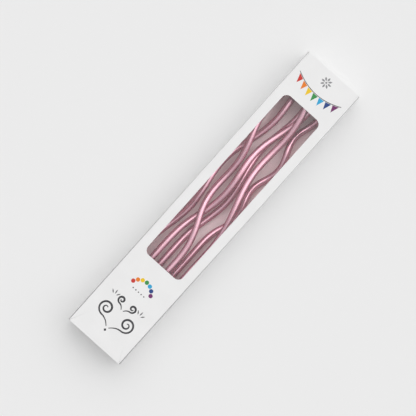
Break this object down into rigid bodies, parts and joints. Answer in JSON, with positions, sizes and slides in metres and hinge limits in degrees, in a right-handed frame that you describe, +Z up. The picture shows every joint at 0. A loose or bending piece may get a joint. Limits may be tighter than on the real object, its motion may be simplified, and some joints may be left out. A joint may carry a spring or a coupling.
{
  "type": "boxed spiral candles",
  "caption": "White paperboard window carton with tuck lids at both ends, holding slim metallic pink candles, each with a straight stem and a long loose spiral.",
  "frame": {"origin": "on the resting surface, under the middle of the carton", "axes": "+X along the carton towards the candles' burning ends, +Y across it, +Z up out of the front panel with the window"},
  "size_m": [0.2036, 0.039, 0.02],
  "materials": {
    "carton_board": "white coated folding board, matt",
    "clear_film": "clear glossy film",
    "pearl_wax": "wax with a metallic rose-pink lacquer",
    "cotton_wick": "braided cotton"
  },
  "bodies": {
    "carton": {"carton_sleeve": "carton_board", "window_film": "clear_film"},
    "top_lid": {"top_lid": "carton_board"},
    "top_tuck_tongue": {"top_tuck_tongue": "carton_board"},
    "top_left_dust_flap": {"top_left_dust_flap": "carton_board"},
    "top_right_dust_flap": {"top_right_dust_flap": "carton_board"},
    "bottom_lid": {"bottom_lid": "carton_board"},
    "bottom_tuck_tongue": {"bottom_tuck_tongue": "carton_board"},
    "bottom_left_dust_flap": {"bottom_left_dust_flap": "carton_board"},
    "bottom_right_dust_flap": {"bottom_right_dust_flap": "carton_board"},
    "candle_1": {"candle_1": "pearl_wax", "wick_1": "cotton_wick"},
    "candle_2": {"candle_2": "pearl_wax", "wick_2": "cotton_wick"},
    "candle_3": {"candle_3": "pearl_wax", "wick_3": "cotton_wick"},
    "candle_4": {"candle_4": "pearl_wax", "wick_4": "cotton_wick"},
    "candle_5": {"candle_5": "pearl_wax", "wick_5": "cotton_wick"},
    "candle_6": {"candle_6": "pearl_wax", "wick_6": "cotton_wick"}
  },
  "joints": [
    {"name": "top_lid_crease", "type": "hinge", "parent": "carton", "child": "top_lid", "pos_m": [0.1018, 0, 0.01998], "axis": [0, -1, 0], "range_deg": [0, 180]},
    {"name": "top_tongue_crease", "type": "hinge", "parent": "top_lid", "child": "top_tuck_tongue", "pos_m": [0.10135, 0, 0.001], "axis": [0, -1, 0], "range_deg": [-45, 0]},
    {"name": "top_left_flap_crease", "type": "hinge", "parent": "carton", "child": "top_left_dust_flap", "pos_m": [0.10125, 0.0195, 0.00999], "axis": [0, 0, 1], "range_deg": [0, 90]},
    {"name": "top_right_flap_crease", "type": "hinge", "parent": "carton", "child": "top_right_dust_flap", "pos_m": [0.10125, -0.0195, 0.00999], "axis": [0, 0, -1], "range_deg": [0, 90]},
    {"name": "bottom_lid_crease", "type": "hinge", "parent": "carton", "child": "bottom_lid", "pos_m": [-0.1018, 0, 0.01998], "axis": [0, 1, 0], "range_deg": [0, 180]},
    {"name": "bottom_tongue_crease", "type": "hinge", "parent": "bottom_lid", "child": "bottom_tuck_tongue", "pos_m": [-0.10135, 0, 0.001], "axis": [0, 1, 0], "range_deg": [-45, 0]},
    {"name": "bottom_left_flap_crease", "type": "hinge", "parent": "carton", "child": "bottom_left_dust_flap", "pos_m": [-0.10125, 0.0195, 0.00999], "axis": [0, 0, -1], "range_deg": [0, 90]},
    {"name": "bottom_right_flap_crease", "type": "hinge", "parent": "carton", "child": "bottom_right_dust_flap", "pos_m": [-0.10125, -0.0195, 0.00999], "axis": [0, 0, 1], "range_deg": [0, 90]},
    {"name": "candle_1_slide", "type": "slide", "parent": "carton", "child": "candle_1", "axis": [1, 0, 0], "range_m": [-0.005, 0.005]},
    {"name": "candle_2_slide", "type": "slide", "parent": "carton", "child": "candle_2", "axis": [1, 0, 0], "range_m": [-0.005, 0.005]},
    {"name": "candle_3_slide", "type": "slide", "parent": "carton", "child": "candle_3", "axis": [1, 0, 0], "range_m": [-0.005, 0.005]},
    {"name": "candle_4_slide", "type": "slide", "parent": "carton", "child": "candle_4", "axis": [1, 0, 0], "range_m": [-0.005, 0.005]},
    {"name": "candle_5_slide", "type": "slide", "parent": "carton", "child": "candle_5", "axis": [1, 0, 0], "range_m": [-0.005, 0.005]},
    {"name": "candle_6_slide", "type": "slide", "parent": "carton", "child": "candle_6", "axis": [1, 0, 0], "range_m": [-0.005, 0.005]}
  ],
  "couplings": [
    {"joint": "top_tongue_crease", "follows": "top_lid_crease", "ratio": -0.25},
    {"joint": "top_left_flap_crease", "follows": "top_lid_crease", "ratio": 0.5},
    {"joint": "top_right_flap_crease", "follows": "top_lid_crease", "ratio": 0.5},
    {"joint": "bottom_tongue_crease", "follows": "bottom_lid_crease", "ratio": -0.25},
    {"joint": "bottom_left_flap_crease", "follows": "bottom_lid_crease", "ratio": 0.5},
    {"joint": "bottom_right_flap_crease", "follows": "bottom_lid_crease", "ratio": 0.5},
    {"joint": "candle_2_slide", "follows": "candle_1_slide", "ratio": 1},
    {"joint": "candle_3_slide", "follows": "candle_1_slide", "ratio": 1},
    {"joint": "candle_4_slide", "follows": "candle_1_slide", "ratio": 1},
    {"joint": "candle_5_slide", "follows": "candle_1_slide", "ratio": 1},
    {"joint": "candle_6_slide", "follows": "candle_1_slide", "ratio": 1}
  ]
}
